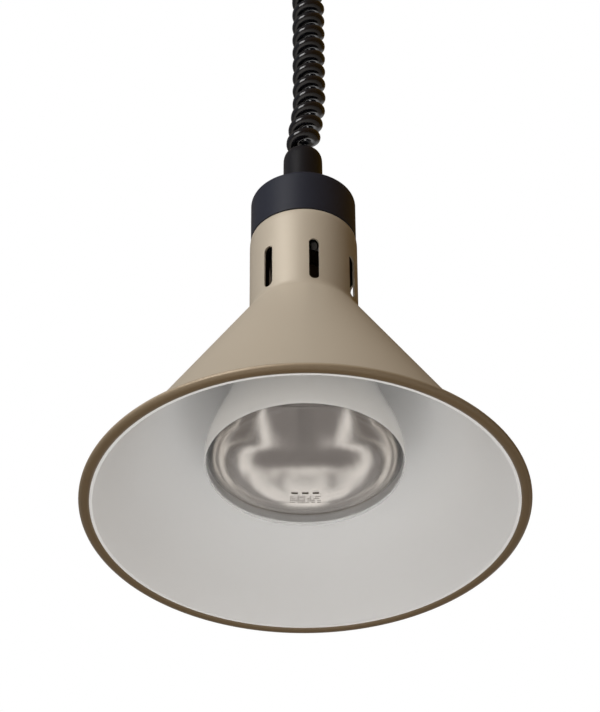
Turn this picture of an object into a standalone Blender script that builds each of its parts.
"""Pendant heat lamp: a spun conical shade and an infrared reflector bulb on a spiral cord.

The origin is the middle of the ceiling bracket's top face, so everything hangs below z = 0.
Metres, +Z up. Heights on the lamp head are given above the plane of the shade's rim.
"""

import math

import bmesh
import bpy
from mathutils import Matrix, Vector

# Driving dimensions
CEILING_TO_RIM = 0.545
GAP = 0.0003
CORD_R = 0.0039

# Shade, from the rim up
RIM_R = 0.1375
BEAD_WIDTH_R = 0.0035
BEAD_HEIGHT_R = 0.0029
CONE_R_AT_RIM = 0.1303
CONE_TAPER = 0.6314
NECK_R = 0.0348
NECK_TOP = 0.2138
NECK_ROUNDING = 0.0064
SHADE_WALL = 0.0012
VENT_COUNT = 7
VENT_WIDTH = 0.0066
VENT_LOW = 0.1546
VENT_HIGH = 0.1877
VENT_TURN = math.radians(11.0)
WIRE_HOLE_R = 0.0075

# Cap and cord gland on top of the shade
CAP_R = 0.0342
CAP_WALL = 0.0030
CAP_ROOF = 0.0022
CAP_LOW = NECK_TOP + GAP
CAP_TOP = 0.2459
GLAND_BASE_R = 0.0133
GLAND_TOP_R = 0.0129
GLAND_LOW = CAP_TOP + GAP
GLAND_TOP = 0.2925
GLAND_SHANK_R = 0.0088
GLAND_SHANK_END = 0.2362
FIXING_X = 0.017

# Bulb, heights above the rim
BULB_R = 0.0618
BULB_FACE_LOW = 0.0160
BULB_FACE_TOP = 0.0360
REFLECTOR_LOW = 0.0400
REFLECTOR_SHOULDER = 0.0800
REFLECTOR_TOP = 0.1300
REFLECTOR_VERTEX = 0.1467
BULB_NECK_R = 0.0205
BULB_TAIL_R = 0.0120
GLASS_WALL = 0.0010
BULB_CAP_R = 0.0132
BULB_CAP_LOW = 0.1530
BULB_CAP_TOP = 0.1830
FILAMENT_Z = 0.1030
FILAMENT_R = 0.0160

# Lamp holder and its bracket, heights above the rim
HOLDER_R = 0.0200
HOLDER_LOW = 0.1520
HOLDER_TOP = 0.1950
SOCKET_R = 0.0143
SOCKET_ROOF = 0.1907
BRACKET_X = 0.0220
BRACKET_WIDTH = 0.0260
BRACKET_WALL = 0.0013
BRACKET_TOP = NECK_TOP - SHADE_WALL - GAP
HOLDER_SCREW_Z = 0.1710

# Ceiling end, heights below the ceiling
CUP_R = 0.0500
CUP_WALL = 0.0022
CUP_DEPTH = 0.0400
CUP_OUTLET_R = 0.0095
EAR_X = 0.0468
EAR_LENGTH = 0.0140
SIDE_SCREW_Z = -0.0080
SUPPLY_HOLE_X = 0.0140
HANGER_X = 0.0200
HANGER_FOOT_X = 0.0320
HANGER_LOW = -0.0300
HANGER_WALL = 0.0012
SLEEVE_PIVOT_Z = -0.0390
SLEEVE_TIP_Z = -0.0680
SLEEVE_TOP_R = 0.0055
SLEEVE_TIP_R = 0.0056

# Spiral cord
SPIRAL_R = 0.0112
SPIRAL_TOP = -0.0830
SPIRAL_BOW = 0.0045
SPIRAL_LOWER_BEND = 0.28
SPIRAL_UPPER_BEND = 0.15
SPIRAL_LEAD = 0.003
SPIRAL_POINTS = 12

# Small hardware
SCREW_R = 0.0015
SMALL_SCREW_R = 0.0014
CLEARANCE_HOLE_R = 0.0020
THREADED_HOLE_R = 0.0017
SADDLE_LENGTH = 0.0260
SADDLE_DEPTH = 0.0076
SADDLE_HALF_GAP = 0.0004
SADDLE_SCREW_X = 0.0090
LAMP_SADDLE_LOW = 0.2270
LAMP_SADDLE_TOP = 0.2340
EARTH_SCREW_Y = 0.0190
BOSS_R = 0.0040
GLAND_NUT_R = 0.0125
GLAND_NUT_HEIGHT = 0.0045

# Wiring
WIRE_R = 0.0009
SUPPLY_WIRE_R = 0.0008
LAMP_TAIL_LOW = 0.2260
CEILING_TAIL_TOP = -0.0180
WIRE_START = 0.0004
TERMINAL_BLOCK = (0.0300, 0.0120, 0.0120)
TERMINAL_CENTRE = (0.0, -0.0178, -0.0112)
SUPPLY_WAYS = (-0.008, 0.0, 0.008)


def above_rim(height):
    """World z of a height given above the rim's lowest plane."""
    return height - CEILING_TO_RIM


def arc(centre, radius_x, radius_z, start, end, steps):
    """Points of an elliptic arc, in degrees from +X towards +Z."""
    angles = [math.radians(start + (end - start) * i / steps) for i in range(steps + 1)]
    return [(centre[0] + radius_x * math.cos(a), centre[1] + radius_z * math.sin(a)) for a in angles]


def rounded(start, corner, end, steps):
    """Points of a smooth bend from start to end, tangent to both sides of the corner."""
    points = []
    for i in range(steps + 1):
        t = i / steps
        weights = ((1 - t) ** 2, 2 * t * (1 - t), t * t)
        points.append(tuple(sum(w * p[k] for w, p in zip(weights, (start, corner, end))) for k in (0, 1)))
    return points


def smooth_path(points, pieces=4):
    """Points along a smooth curve that passes through each given point."""
    knots = [Vector(p) for p in points]
    ends = [2 * knots[0] - knots[1]] + knots + [2 * knots[-1] - knots[-2]]
    path = []
    for a, b, c, d in zip(ends, ends[1:], ends[2:], ends[3:]):
        for i in range(pieces):
            t = i / pieces
            path.append(0.5 * (2 * b + (c - a) * t + (2 * a - 5 * b + 4 * c - d) * t * t
                               + (3 * b - a - 3 * c + d) * t ** 3))
    return path + [knots[-1]]


def clear_scene():
    for obj in list(bpy.data.objects):
        bpy.data.objects.remove(obj, do_unlink=True)


def make_collection(name):
    collection = bpy.data.collections.new(name)
    bpy.context.scene.collection.children.link(collection)
    return collection


def make_material(name, colour, roughness, metallic=0.0, transmission=0.0):
    material = bpy.data.materials.new(name)
    material.use_nodes = True
    shader = material.node_tree.nodes["Principled BSDF"]
    shader.inputs["Base Color"].default_value = (*colour, 1.0)
    shader.inputs["Roughness"].default_value = roughness
    shader.inputs["Metallic"].default_value = metallic
    shader.inputs["Transmission Weight"].default_value = transmission
    material.diffuse_color = (*colour, 1.0)
    return material


clear_scene()
PARTS = make_collection("pendant_heat_lamp")
CUTTERS = make_collection("cutters")
CHAMPAGNE = make_material("champagne_enamel", (0.42, 0.36, 0.28), 0.38)
BLACK_PLASTIC = make_material("black_plastic", (0.03, 0.03, 0.035), 0.45)
BLACK_RUBBER = make_material("black_rubber", (0.012, 0.012, 0.014), 0.30)
ZINC = make_material("zinc_steel", (0.62, 0.63, 0.64), 0.35, metallic=1.0)
BRASS = make_material("brass", (0.78, 0.60, 0.28), 0.30, metallic=1.0)
CERAMIC = make_material("brown_porcelain", (0.045, 0.028, 0.018), 0.30)
NICKEL = make_material("nickelled_brass", (0.74, 0.71, 0.64), 0.28, metallic=1.0)
GLASS = make_material("bulb_glass", (0.92, 0.94, 0.94), 0.05, transmission=1.0)
BLACK_GLASS = make_material("black_glass", (0.02, 0.02, 0.03), 0.12)
TUNGSTEN = make_material("tungsten", (0.30, 0.29, 0.28), 0.40, metallic=1.0)
NYLON = make_material("white_nylon", (0.80, 0.80, 0.77), 0.45)
BROWN_WIRE = make_material("brown_silicone", (0.16, 0.06, 0.025), 0.45)
BLUE_WIRE = make_material("blue_silicone", (0.03, 0.12, 0.42), 0.45)
EARTH_WIRE = make_material("green_yellow_silicone", (0.32, 0.50, 0.06), 0.45)


def add_object(name, mesh, material):
    obj = bpy.data.objects.new(name, mesh)
    PARTS.objects.link(obj)
    mesh.materials.append(material)
    return obj


def as_cutter(obj):
    """Turns an object into a helper that is not part of the lamp."""
    for collection in list(obj.users_collection):
        collection.objects.unlink(obj)
    CUTTERS.objects.link(obj)
    obj.hide_render = True
    obj.display_type = "WIRE"
    return obj


def boolean(target, tool, operation):
    as_cutter(tool)
    modifier = target.modifiers.new(operation.lower(), "BOOLEAN")
    modifier.operation = operation
    modifier.solver = "EXACT"
    modifier.object = tool


def cut(target, tool):
    boolean(target, tool, "DIFFERENCE")


def join(target, tool):
    boolean(target, tool, "UNION")


def turned(name, outline, material, steps=40, ring=False, wall=0.0):
    """A turned piece. The outline runs down the outer side, and a ring's comes back up the inner side."""
    mesh = bpy.data.meshes.new(name)
    edges = [(i, i + 1) for i in range(len(outline) - 1)]
    if ring:
        edges.append((len(outline) - 1, 0))
    mesh.from_pydata([(r, 0.0, z) for r, z in outline], edges, [])
    obj = add_object(name, mesh, material)
    screw = obj.modifiers.new("turn", "SCREW")
    screw.steps = steps
    screw.render_steps = steps
    screw.use_merge_vertices = True
    screw.merge_threshold = 0.00001
    screw.use_smooth_shade = True
    if wall:
        solidify = obj.modifiers.new("wall", "SOLIDIFY")
        solidify.thickness = wall
        solidify.offset = -1.0
        solidify.use_even_offset = True
    return obj


def sleeve_ring(outer_r, inner_r, low, high):
    """Outline of a plain ring."""
    return [(outer_r, high), (outer_r, low), (inner_r, low), (inner_r, high)]


def block(name, size, centre, material, edge=0.0):
    mesh = bpy.data.meshes.new(name)
    shape = bmesh.new()
    bmesh.ops.create_cube(shape, size=1.0, matrix=Matrix.Diagonal((*size, 1.0)))
    shape.to_mesh(mesh)
    shape.free()
    obj = add_object(name, mesh, material)
    obj.location = centre
    if edge:
        bevel = obj.modifiers.new("edge", "BEVEL")
        bevel.width = edge
        bevel.segments = 1
    return obj


def rod(name, centre, radius, length, axis="Z", sides=24, material=None):
    mesh = bpy.data.meshes.new(name)
    shape = bmesh.new()
    bmesh.ops.create_cone(shape, cap_ends=True, segments=sides, radius1=radius, radius2=radius, depth=length)
    shape.to_mesh(mesh)
    shape.free()
    obj = add_object(name, mesh, material or ZINC)
    obj.location = centre
    turn = {"X": (0.0, math.pi / 2, 0.0), "Y": (math.pi / 2, 0.0, 0.0), "Z": (0.0, 0.0, 0.0)}
    obj.rotation_euler = turn[axis]
    return obj


def tube(name, points, radius, material):
    curve = bpy.data.curves.new(name, "CURVE")
    curve.dimensions = "3D"
    curve.bevel_depth = radius
    curve.bevel_resolution = 2
    curve.use_fill_caps = True
    spline = curve.splines.new("POLY")
    spline.points.add(len(points) - 1)
    for point, place in zip(spline.points, points):
        point.co = (*place, 1.0)
    return add_object(name, curve, material)


def bent_strap(name, path, width, wall, material):
    """A sheet metal strip along a path in the XZ plane. The wall grows to the right of the path."""
    mesh = bpy.data.meshes.new(name)
    points = [(x, side * width / 2, z) for side in (-1, 1) for x, z in path]
    count = len(path)
    faces = [(i, i + 1, i + 1 + count, i + count) for i in range(count - 1)]
    mesh.from_pydata(points, [], faces)
    obj = add_object(name, mesh, material)
    solidify = obj.modifiers.new("wall", "SOLIDIFY")
    solidify.thickness = wall
    solidify.offset = -1.0
    solidify.use_even_offset = True
    return obj


def machine_screw(name, seat, outward, shank_r, length, material=ZINC):
    """A pan-head screw. Its head stands on the seat and points outward."""
    head_r = 1.9 * shank_r
    head_height = 1.2 * shank_r
    outline = [(0.0, head_height), (0.7 * head_r, head_height), (head_r, 0.4 * head_height), (head_r, 0.0),
               (shank_r, 0.0), (shank_r, -length), (0.0, -length)]
    obj = turned(name, outline, material, steps=12)
    obj.location = seat
    obj.rotation_euler = Vector(outward).to_track_quat("Z", "Y").to_euler()
    return obj


def pivot(name, height, children, parent=None):
    """An empty on a joint's axis that carries the pieces of one moving body."""
    empty = bpy.data.objects.new(name, None)
    empty.empty_display_size = 0.02
    empty.location = (0.0, 0.0, height)
    PARTS.objects.link(empty)
    bpy.context.view_layer.update()
    for child in children:
        child.parent = empty
        child.matrix_parent_inverse = empty.matrix_world.inverted()
    if parent:
        empty.parent = parent
        empty.matrix_parent_inverse = parent.matrix_world.inverted()
    return empty


def cone_r(height):
    return CONE_R_AT_RIM - CONE_TAPER * height


def lifted(outline):
    """An outline in heights above the rim, moved to its place in the world."""
    return [(r, above_rim(z)) for r, z in outline]


def make_shade():
    crease = (CONE_R_AT_RIM - NECK_R) / CONE_TAPER
    bead = (RIM_R - BEAD_WIDTH_R, BEAD_HEIGHT_R)
    bead_top = 2 * BEAD_HEIGHT_R
    outline = [(WIRE_HOLE_R, NECK_TOP), (NECK_R - 0.0022, NECK_TOP)]
    outline += rounded((NECK_R - 0.0012, NECK_TOP - 0.0008), (NECK_R, NECK_TOP - 0.0030),
                       (NECK_R, NECK_TOP - NECK_ROUNDING), 2)
    outline += rounded((NECK_R, crease + 0.002), (NECK_R, crease), (cone_r(crease - 0.002), crease - 0.002), 2)
    outline += rounded((cone_r(0.0085), 0.0085), (cone_r(0.006), bead_top), (bead[0] - 0.0045, bead_top), 2)
    outline += arc(bead, BEAD_WIDTH_R, BEAD_HEIGHT_R, 90, -185, 7)
    shade = turned("shade", lifted(outline), CHAMPAGNE, steps=48, wall=SHADE_WALL)
    for i in range(VENT_COUNT):
        angle = VENT_TURN + i * math.tau / VENT_COUNT
        cut(shade, vent_cutter(f"vent_cutter_{i + 1}", angle))
    for side in (-1, 1):
        place = (side * FIXING_X, 0.0, above_rim(NECK_TOP))
        cut(shade, rod("cap_screw_hole", place, CLEARANCE_HOLE_R, 0.01, sides=12))
    earth_hole = rod("earth_hole", (0.0, EARTH_SCREW_Y, above_rim(NECK_TOP)), 0.0018, 0.01, sides=12)
    cut(shade, earth_hole)
    return shade


def vent_cutter(name, angle):
    """A flat bar with round ends that reaches through one side of the neck."""
    half = VENT_WIDTH / 2
    outline = arc((0.0, VENT_HIGH - half), half, half, 0, 180, 8)
    outline += arc((0.0, VENT_LOW + half), half, half, 180, 360, 8)
    mesh = bpy.data.meshes.new(name)
    shape = bmesh.new()
    corners = [shape.verts.new((x, -NECK_R - 0.004, above_rim(z))) for x, z in outline]
    face = shape.faces.new(corners)
    reach = bmesh.ops.extrude_face_region(shape, geom=[face])
    moved = [item for item in reach["geom"] if isinstance(item, bmesh.types.BMVert)]
    bmesh.ops.translate(shape, verts=moved, vec=(0.0, 0.010, 0.0))
    bmesh.ops.recalc_face_normals(shape, faces=shape.faces)
    bmesh.ops.rotate(shape, verts=shape.verts, cent=(0, 0, 0), matrix=Matrix.Rotation(angle, 3, "Z"))
    shape.to_mesh(mesh)
    shape.free()
    return add_object(name, mesh, ZINC)


def make_cap():
    inner_r = CAP_R - CAP_WALL
    roof = CAP_TOP - CAP_ROOF
    outline = [(GLAND_SHANK_R + 0.0004, CAP_TOP)]
    outline += rounded((CAP_R - 0.0015, CAP_TOP), (CAP_R, CAP_TOP), (CAP_R, CAP_TOP - 0.0015), 2)
    outline += [(CAP_R, CAP_LOW), (inner_r, CAP_LOW), (inner_r, roof), (GLAND_SHANK_R + 0.0004, roof)]
    cap = turned("top_cap", lifted(outline), BLACK_PLASTIC, steps=40, ring=True)
    boss_height = roof - CAP_LOW + 0.001
    for side in (-1, 1):
        middle = (side * FIXING_X, 0.0, above_rim(CAP_LOW + boss_height / 2))
        join(cap, rod("boss", middle, BOSS_R, boss_height, sides=16))
        bore = rod("boss_bore", (side * FIXING_X, 0.0, above_rim(CAP_LOW + 0.005)), 0.0018, 0.014, sides=12)
        cut(cap, bore)
    return cap


def make_gland():
    outline = [(CORD_R + 0.0004, GLAND_TOP)]
    dome_end = (GLAND_TOP_R, GLAND_TOP - 0.0085)
    outline += rounded((CORD_R + 0.0018, GLAND_TOP), (GLAND_TOP_R, GLAND_TOP), dome_end, 5)
    outline += [(GLAND_BASE_R, GLAND_LOW + 0.012), (GLAND_BASE_R, GLAND_LOW), (GLAND_SHANK_R, GLAND_LOW),
                (GLAND_SHANK_R, GLAND_SHANK_END), (CORD_R + 0.0004, GLAND_SHANK_END)]
    gland = turned("cord_gland", lifted(outline), BLACK_PLASTIC, steps=24, ring=True)
    nut_top = CAP_TOP - CAP_ROOF - GAP
    nut_low = nut_top - GLAND_NUT_HEIGHT
    nut_outline = sleeve_ring(GLAND_NUT_R, GLAND_SHANK_R + GAP, above_rim(nut_low), above_rim(nut_top))
    nut = turned("gland_nut", nut_outline, BLACK_PLASTIC, steps=24, ring=True)
    return [gland, nut]


def saddle_pair(prefix, low, high, along):
    """Two grooved halves that grip the cord, and the two screws that pull them together."""
    pieces = []
    height = high - low
    middle = (low + high) / 2
    for number, side in ((1, -1), (2, 1)):
        size = {"X": (SADDLE_LENGTH, SADDLE_DEPTH, height), "Y": (SADDLE_DEPTH, SADDLE_LENGTH, height)}[along]
        offset = side * (SADDLE_DEPTH / 2 + SADDLE_HALF_GAP)
        centre = {"X": (0.0, offset, middle), "Y": (offset, 0.0, middle)}[along]
        half = block(f"{prefix}_saddle_{number}", size, centre, NYLON, edge=0.0006)
        cut(half, rod("groove", (0.0, 0.0, middle), CORD_R + GAP, height * 2, sides=24))
        for place in (-SADDLE_SCREW_X, SADDLE_SCREW_X):
            spot = {"X": (place, 0.0, middle), "Y": (0.0, place, middle)}[along]
            across = {"X": "Y", "Y": "X"}[along]
            cut(half, rod("saddle_bore", spot, THREADED_HOLE_R, 0.04, axis=across, sides=12))
        pieces.append(half)
    seat = SADDLE_DEPTH + SADDLE_HALF_GAP + GAP
    for number, place in ((1, -SADDLE_SCREW_X), (2, SADDLE_SCREW_X)):
        spot = {"X": (place, seat, middle), "Y": (seat, place, middle)}[along]
        outward = {"X": (0, 1, 0), "Y": (1, 0, 0)}[along]
        pieces.append(machine_screw(f"{prefix}_saddle_screw_{number}", spot, outward, SMALL_SCREW_R, 0.0150))
    return pieces


def make_holder():
    outline = [(0.0, HOLDER_TOP), (0.0150, HOLDER_TOP), (0.0170, HOLDER_TOP - 0.002), (0.0170, 0.1820),
               (HOLDER_R, 0.1790), (HOLDER_R, HOLDER_LOW + 0.001), (HOLDER_R - 0.001, HOLDER_LOW),
               (SOCKET_R, HOLDER_LOW), (SOCKET_R, SOCKET_ROOF), (0.0, SOCKET_ROOF)]
    holder = turned("lampholder", lifted(outline), CERAMIC, steps=28)
    for side in (-1, 1):
        place = (side * HOLDER_R, 0.0, above_rim(HOLDER_SCREW_Z))
        cut(holder, rod("holder_bore", place, 0.0018, 0.0076, axis="X", sides=12))
    shell_outline = sleeve_ring(SOCKET_R - GAP, SOCKET_R - 0.0007, above_rim(0.1580), above_rim(0.1880))
    shell = turned("screw_shell", shell_outline, BRASS, steps=28, ring=True)
    contact = block("centre_contact", (0.0150, 0.0050, 0.0006), (0.0, 0.0, above_rim(0.1901)), BRASS)
    pieces = [holder, shell, contact]
    for name, side in (("live_terminal", 1), ("neutral_terminal", -1)):
        place = (side * 0.0085, 0.0, above_rim(HOLDER_TOP + GAP + 0.0025))
        pieces.append(block(name, (0.0065, 0.0065, 0.0050), place, BRASS, edge=0.0005))
    return pieces


def make_holder_bracket():
    low = above_rim(0.1660)
    top = above_rim(BRACKET_TOP)
    path = [(-BRACKET_X, low), (-BRACKET_X, top), (BRACKET_X, top), (BRACKET_X, low)]
    bracket = bent_strap("holder_bracket", path, BRACKET_WIDTH, BRACKET_WALL, ZINC)
    cut(bracket, rod("wire_opening", (0.0, 0.0, top), 0.0100, 0.01, sides=24))
    pieces = [bracket]
    for number, side in ((1, -1), (2, 1)):
        cut(bracket, rod("fixing_hole", (side * FIXING_X, 0.0, top), CLEARANCE_HOLE_R, 0.01, sides=12))
        leg_hole = (side * BRACKET_X, 0.0, above_rim(HOLDER_SCREW_Z))
        cut(bracket, rod("leg_hole", leg_hole, 0.0018, 0.01, axis="X", sides=12))
        seat = (side * (BRACKET_X + GAP), 0.0, above_rim(HOLDER_SCREW_Z))
        pieces.append(machine_screw(f"holder_screw_{number}", seat, (side, 0, 0), SCREW_R, 0.0052))
        seat = (side * FIXING_X, 0.0, top - BRACKET_WALL - GAP)
        pieces.append(machine_screw(f"bracket_screw_{number}", seat, (0, 0, -1), SCREW_R, 0.0120))
    return pieces


def make_lamp_wiring():
    grommet_top = NECK_TOP + GAP
    grommet_low = NECK_TOP - SHADE_WALL - GAP
    outline = [(0.0092, grommet_top + 0.0016), (0.0092, grommet_top), (WIRE_HOLE_R - GAP, grommet_top),
               (WIRE_HOLE_R - GAP, grommet_low), (0.0090, grommet_low), (0.0090, grommet_low - 0.0016),
               (0.0050, grommet_low - 0.0016), (0.0050, grommet_top + 0.0016)]
    pieces = [turned("wire_grommet", lifted(outline), BLACK_RUBBER, steps=20, ring=True)]
    tail_low = above_rim(LAMP_TAIL_LOW)
    tail = [(0.0, 0.0, tail_low + (above_rim(GLAND_TOP) - tail_low) * i / 4) for i in range(5)]
    pieces.append(tube("cord_lower_tail", tail, CORD_R, BLACK_RUBBER))
    start = LAMP_TAIL_LOW - WIRE_START
    for name, side, material in (("live_wire", 1, BROWN_WIRE), ("neutral_wire", -1, BLUE_WIRE)):
        route = [(0.0018, start), (0.0018, 0.2150), (0.0024, 0.2075), (0.0062, 0.2038), (0.0085, 0.2008)]
        points = [(side * x, 0.0, above_rim(z)) for x, z in route]
        pieces.append(tube(name, smooth_path(points, 3), WIRE_R, material))
    route = [(0.0022, start), (0.0034, 0.2215), (0.0085, 0.2178), (0.0152, 0.2157)]
    points = [(0.0, y, above_rim(z)) for y, z in route]
    pieces.append(tube("earth_wire", smooth_path(points, 3), WIRE_R, EARTH_WIRE))
    seat = (0.0, EARTH_SCREW_Y, above_rim(NECK_TOP + GAP))
    pieces.append(machine_screw("earth_screw", seat, (0, 0, 1), SCREW_R, 0.0045))
    return pieces


def reflector_r(height):
    """A paraboloid above the shoulder, which turns smoothly down to the widest circle below it."""
    depth = REFLECTOR_VERTEX - REFLECTOR_LOW
    if height >= REFLECTOR_SHOULDER:
        return BULB_R * math.sqrt((REFLECTOR_VERTEX - height) / depth)
    shoulder_r = BULB_R * math.sqrt((REFLECTOR_VERTEX - REFLECTOR_SHOULDER) / depth)
    span = REFLECTOR_SHOULDER - REFLECTOR_LOW
    slope = -0.5 * BULB_R ** 2 / (depth * shoulder_r)
    t = (height - REFLECTOR_LOW) / span
    rise = t * t * (3.0 - 2.0 * t)
    return BULB_R * (1.0 - rise) + shoulder_r * rise + slope * span * t * t * (t - 1.0)


def bulb_outline():
    outline = [(BULB_TAIL_R, 0.1760)]
    outline += rounded((BULB_TAIL_R, 0.1600), (BULB_TAIL_R, 0.1508), (0.0165, 0.1498), 3)
    outline += rounded((0.0185, 0.1492), (BULB_NECK_R, 0.1486), (BULB_NECK_R, 0.1435), 2)
    outline += [(BULB_NECK_R, 0.1380)]
    steps = 7
    for i in range(steps + 1):
        height = REFLECTOR_TOP + (REFLECTOR_LOW - REFLECTOR_TOP) * i / steps
        outline.append((reflector_r(height), height))
    outline += arc((0.0, BULB_FACE_TOP), BULB_R, BULB_FACE_TOP - BULB_FACE_LOW, 0, -90, 6)
    return outline


def make_bulb():
    glass = turned("bulb_glass", lifted(bulb_outline()), GLASS, steps=32, wall=GLASS_WALL)
    skirt = BULB_CAP_R + 0.0008
    cap_outline = [(BULB_CAP_R, BULB_CAP_TOP), (BULB_CAP_R, BULB_CAP_LOW + 0.0045),
                   (skirt, BULB_CAP_LOW + 0.0038), (skirt, BULB_CAP_LOW),
                   (skirt - 0.0004, BULB_CAP_LOW), (skirt - 0.0004, BULB_CAP_LOW + 0.0036),
                   (BULB_CAP_R - 0.0004, BULB_CAP_LOW + 0.0043), (BULB_CAP_R - 0.0004, BULB_CAP_TOP)]
    screw_cap = turned("bulb_screw_cap", lifted(cap_outline), NICKEL, steps=28, ring=True)
    insulator_outline = [(0.0, 0.1867), (0.0050, 0.1867), (0.0118, 0.1834), (0.0124, 0.1826),
                         (0.0124, 0.1800), (0.0, 0.1800)]
    insulator = turned("bulb_insulator", lifted(insulator_outline), BLACK_GLASS, steps=24)
    tip_outline = [(0.0, 0.1894), (0.0026, 0.1892), (0.0044, 0.1882), (0.0044, 0.1870), (0.0, 0.1870)]
    tip = turned("bulb_contact_tip", lifted(tip_outline), NICKEL, steps=20)
    stem_outline = [(0.0, 0.1690), (0.0106, 0.1690), (0.0106, 0.1675), (0.0050, 0.1600), (0.0042, 0.1320),
                    (0.0026, 0.1296), (0.0, 0.1296)]
    stem = turned("bulb_stem", lifted(stem_outline), GLASS, steps=20)
    pieces = [glass, screw_cap, insulator, stem]
    for number, side in ((1, -1), (2, 1)):
        route = [(0.0014, 0.1292), (0.0020, 0.1220), (0.0090, 0.1120), (FILAMENT_R, FILAMENT_Z + 0.0012)]
        points = [(side * x, 0.0, above_rim(z)) for x, z in route]
        pieces.append(tube(f"lead_wire_{number}", smooth_path(points, 2), 0.0005, NICKEL))
    ring = [(FILAMENT_R * math.cos(a), FILAMENT_R * math.sin(a), above_rim(FILAMENT_Z))
            for a in (math.pi * i / 12 for i in range(13))]
    pieces.append(tube("filament", ring, 0.0006, TUNGSTEN))
    return tip, pieces


def make_ceiling_fitting():
    path = [(-EAR_X, -EAR_LENGTH), (-EAR_X, 0.0), (EAR_X, 0.0), (EAR_X, -EAR_LENGTH)]
    bracket = bent_strap("ceiling_bracket", path, 0.0130, 0.0015, ZINC)
    cut(bracket, rod("supply_hole", (SUPPLY_HOLE_X, 0.0, 0.0), 0.0045, 0.01, sides=20))
    foot = HANGER_FOOT_X
    hanger_top = -0.0015 - GAP
    hanger_path = [(-foot, hanger_top), (-HANGER_X, hanger_top), (-HANGER_X, HANGER_LOW + HANGER_WALL),
                   (HANGER_X, HANGER_LOW + HANGER_WALL), (HANGER_X, hanger_top), (foot, hanger_top)]
    hanger = bent_strap("cord_hanger", hanger_path, 0.0120, HANGER_WALL, ZINC)
    cut(hanger, rod("cord_hole", (0.0, 0.0, HANGER_LOW), CORD_R + 0.0007, 0.01, sides=20))
    pieces = [bracket, hanger]
    inner = CUP_R - CUP_WALL
    floor = -CUP_DEPTH + CUP_WALL
    outline = [(CUP_R, -GAP), (CUP_R, -0.0120)]
    outline += rounded((0.0470, -0.0260), (0.0445, -CUP_DEPTH), (0.0330, -CUP_DEPTH), 3)
    outline += [(CUP_OUTLET_R, -CUP_DEPTH), (CUP_OUTLET_R, floor)]
    outline += rounded((0.0325, floor), (0.0425, floor), (0.0448, -0.0255), 3)
    outline += [(inner, -0.0118), (inner, -GAP)]
    cup = turned("ceiling_cup", outline, BLACK_PLASTIC, steps=40, ring=True)
    pieces.append(cup)
    for number, side in ((1, -1), (2, 1)):
        side_hole = (side * EAR_X, 0.0, SIDE_SCREW_Z)
        cut(bracket, rod("ear_hole", side_hole, THREADED_HOLE_R, 0.006, axis="X", sides=12))
        cut(cup, rod("side_hole", (side * CUP_R, 0.0, SIDE_SCREW_Z), 0.0019, 0.008, axis="X", sides=12))
        seat = (side * (CUP_R + GAP), 0.0, SIDE_SCREW_Z)
        pieces.append(machine_screw(f"cup_screw_{number}", seat, (side, 0, 0), SMALL_SCREW_R, 0.0065))
        cut(bracket, block("ceiling_screw_slot", (0.0080, 0.0045, 0.01), (side * 0.0380, 0.0, 0.0), ZINC))
        place = side * 0.0260
        cut(bracket, rod("hanger_hole", (place, 0.0, 0.0), THREADED_HOLE_R, 0.01, sides=12))
        cut(hanger, rod("foot_hole", (place, 0.0, 0.0), THREADED_HOLE_R, 0.01, sides=12))
        seat = (place, 0.0, hanger_top - HANGER_WALL - GAP)
        pieces.append(machine_screw(f"hanger_screw_{number}", seat, (0, 0, -1), SMALL_SCREW_R, 0.0026))
    saddle_low = HANGER_LOW + HANGER_WALL + 0.0004
    pieces += saddle_pair("ceiling", saddle_low, saddle_low + 0.0070, "X")
    tail_low = SLEEVE_PIVOT_Z + SLEEVE_TOP_R + GAP
    tail = [(0.0, 0.0, tail_low + (CEILING_TAIL_TOP - tail_low) * i / 2) for i in range(3)]
    pieces.append(tube("cord_top_tail", tail, CORD_R, BLACK_RUBBER))
    pieces.append(supply_terminals())
    names = ("supply_live_wire", "supply_neutral_wire", "supply_earth_wire")
    for name, x, material in zip(names, SUPPLY_WAYS, (BROWN_WIRE, BLUE_WIRE, EARTH_WIRE)):
        route = [(x / 4, 0.0, CEILING_TAIL_TOP + WIRE_START), (x / 2, -0.0020, -0.0145), (x, -0.0075, -0.0118),
                 (x, -0.0113, -0.0112)]
        pieces.append(tube(name, smooth_path(route, 3), SUPPLY_WIRE_R, material))
    return pieces


def supply_terminals():
    """A three-way terminal block behind the hanger, with a screw well and a wire hole for each way."""
    terminals = block("supply_terminal_block", TERMINAL_BLOCK, TERMINAL_CENTRE, NYLON, 0.0006)
    _, middle_y, middle_z = TERMINAL_CENTRE
    for x in SUPPLY_WAYS:
        cut(terminals, rod("screw_well", (x, middle_y, middle_z - 0.0060), 0.0022, 0.0080, sides=12))
        cut(terminals, rod("wire_hole", (x, middle_y - 0.0062, middle_z), 0.0016, 0.0080, axis="Y", sides=12))
    return terminals


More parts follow.
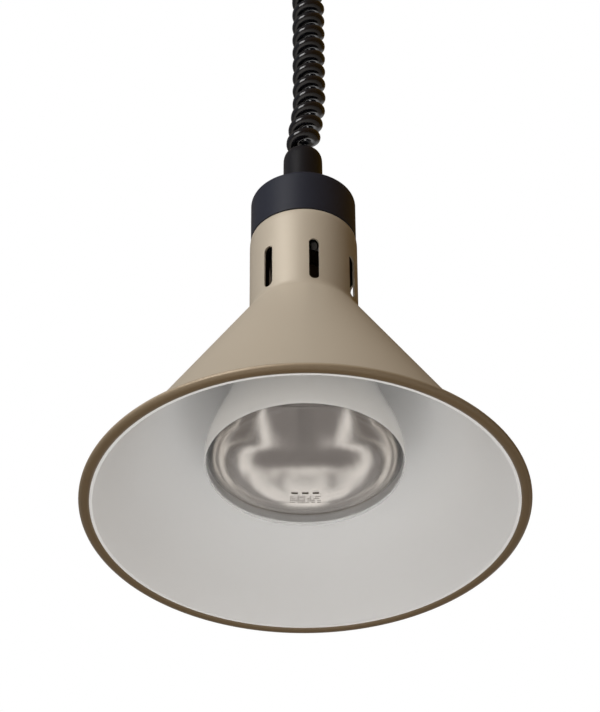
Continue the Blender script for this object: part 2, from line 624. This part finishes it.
def make_sleeve():
    """A moulded bend relief: a ball at its top turns in the cup's outlet, and a cup at its tip holds the cord."""
    outline = arc((0.0, SLEEVE_PIVOT_Z), SLEEVE_TOP_R, SLEEVE_TOP_R, 90, 0, 4)
    outline += [(0.0062, SLEEVE_PIVOT_Z - 0.0030), (0.0085, SLEEVE_PIVOT_Z - 0.0040),
                (0.0085, SLEEVE_PIVOT_Z - 0.0075), (0.0074, SLEEVE_PIVOT_Z - 0.0090), (SLEEVE_TIP_R, SLEEVE_TIP_Z)]
    socket_r = CORD_R + GAP
    outline += arc((0.0, SLEEVE_TIP_Z), socket_r, socket_r, 0, 90, 3)
    return turned("bend_sleeve", outline, BLACK_RUBBER, steps=24)


def ramp(t):
    t = min(max(t, 0.0), 1.0)
    return t * t * (3.0 - 2.0 * t)


def spiral_middle(share):
    """How far the hanging spiral stands off the lamp's axis, from its lower end (0) to its upper end (1)."""
    return SPIRAL_BOW * ramp(share / SPIRAL_LOWER_BEND) * ramp((1.0 - share) / SPIRAL_UPPER_BEND)


def make_cord():
    outline = arc((0.0, SLEEVE_TIP_Z), CORD_R, CORD_R, 90, 0, 4)
    outline += [(CORD_R, SPIRAL_TOP + GAP), (0.0, SPIRAL_TOP + GAP)]
    straight = turned("cord_straight", outline, BLACK_RUBBER, steps=16)
    bottom = above_rim(GLAND_TOP) + GAP
    low = bottom + SPIRAL_LEAD
    high = SPIRAL_TOP - SPIRAL_LEAD
    shares = [i / SPIRAL_POINTS for i in range(SPIRAL_POINTS + 1)]
    route = [(0.0, 0.0, bottom)]
    route += [(spiral_middle(share), 0.0, low + (high - low) * share) for share in shares]
    route += [(0.0, 0.0, SPIRAL_TOP)]
    return [straight, tube("cord_spiral", route, SPIRAL_R, BLACK_RUBBER)]


def build():
    make_ceiling_fitting()
    sleeve = make_sleeve()
    straight, spiral = make_cord()
    lamp = [make_shade(), make_cap()]
    lamp += make_gland()
    lamp += saddle_pair("lamp", above_rim(LAMP_SADDLE_LOW), above_rim(LAMP_SADDLE_TOP), "Y")
    lamp += make_holder()
    lamp += make_holder_bracket()
    lamp += make_lamp_wiring()
    tip, bulb = make_bulb()
    sleeve_pivot = pivot("sleeve_pivot", SLEEVE_PIVOT_Z, [sleeve])
    cord_pivot = pivot("cord_pivot", SLEEVE_TIP_Z, [straight, spiral], sleeve_pivot)
    lamp_slide = pivot("lamp_slide", SPIRAL_TOP, lamp, cord_pivot)
    bulb_slide = pivot("bulb_slide", above_rim(BULB_CAP_TOP), [tip], lamp_slide)
    pivot("bulb_turn", above_rim(BULB_CAP_TOP), bulb, bulb_slide)


build()
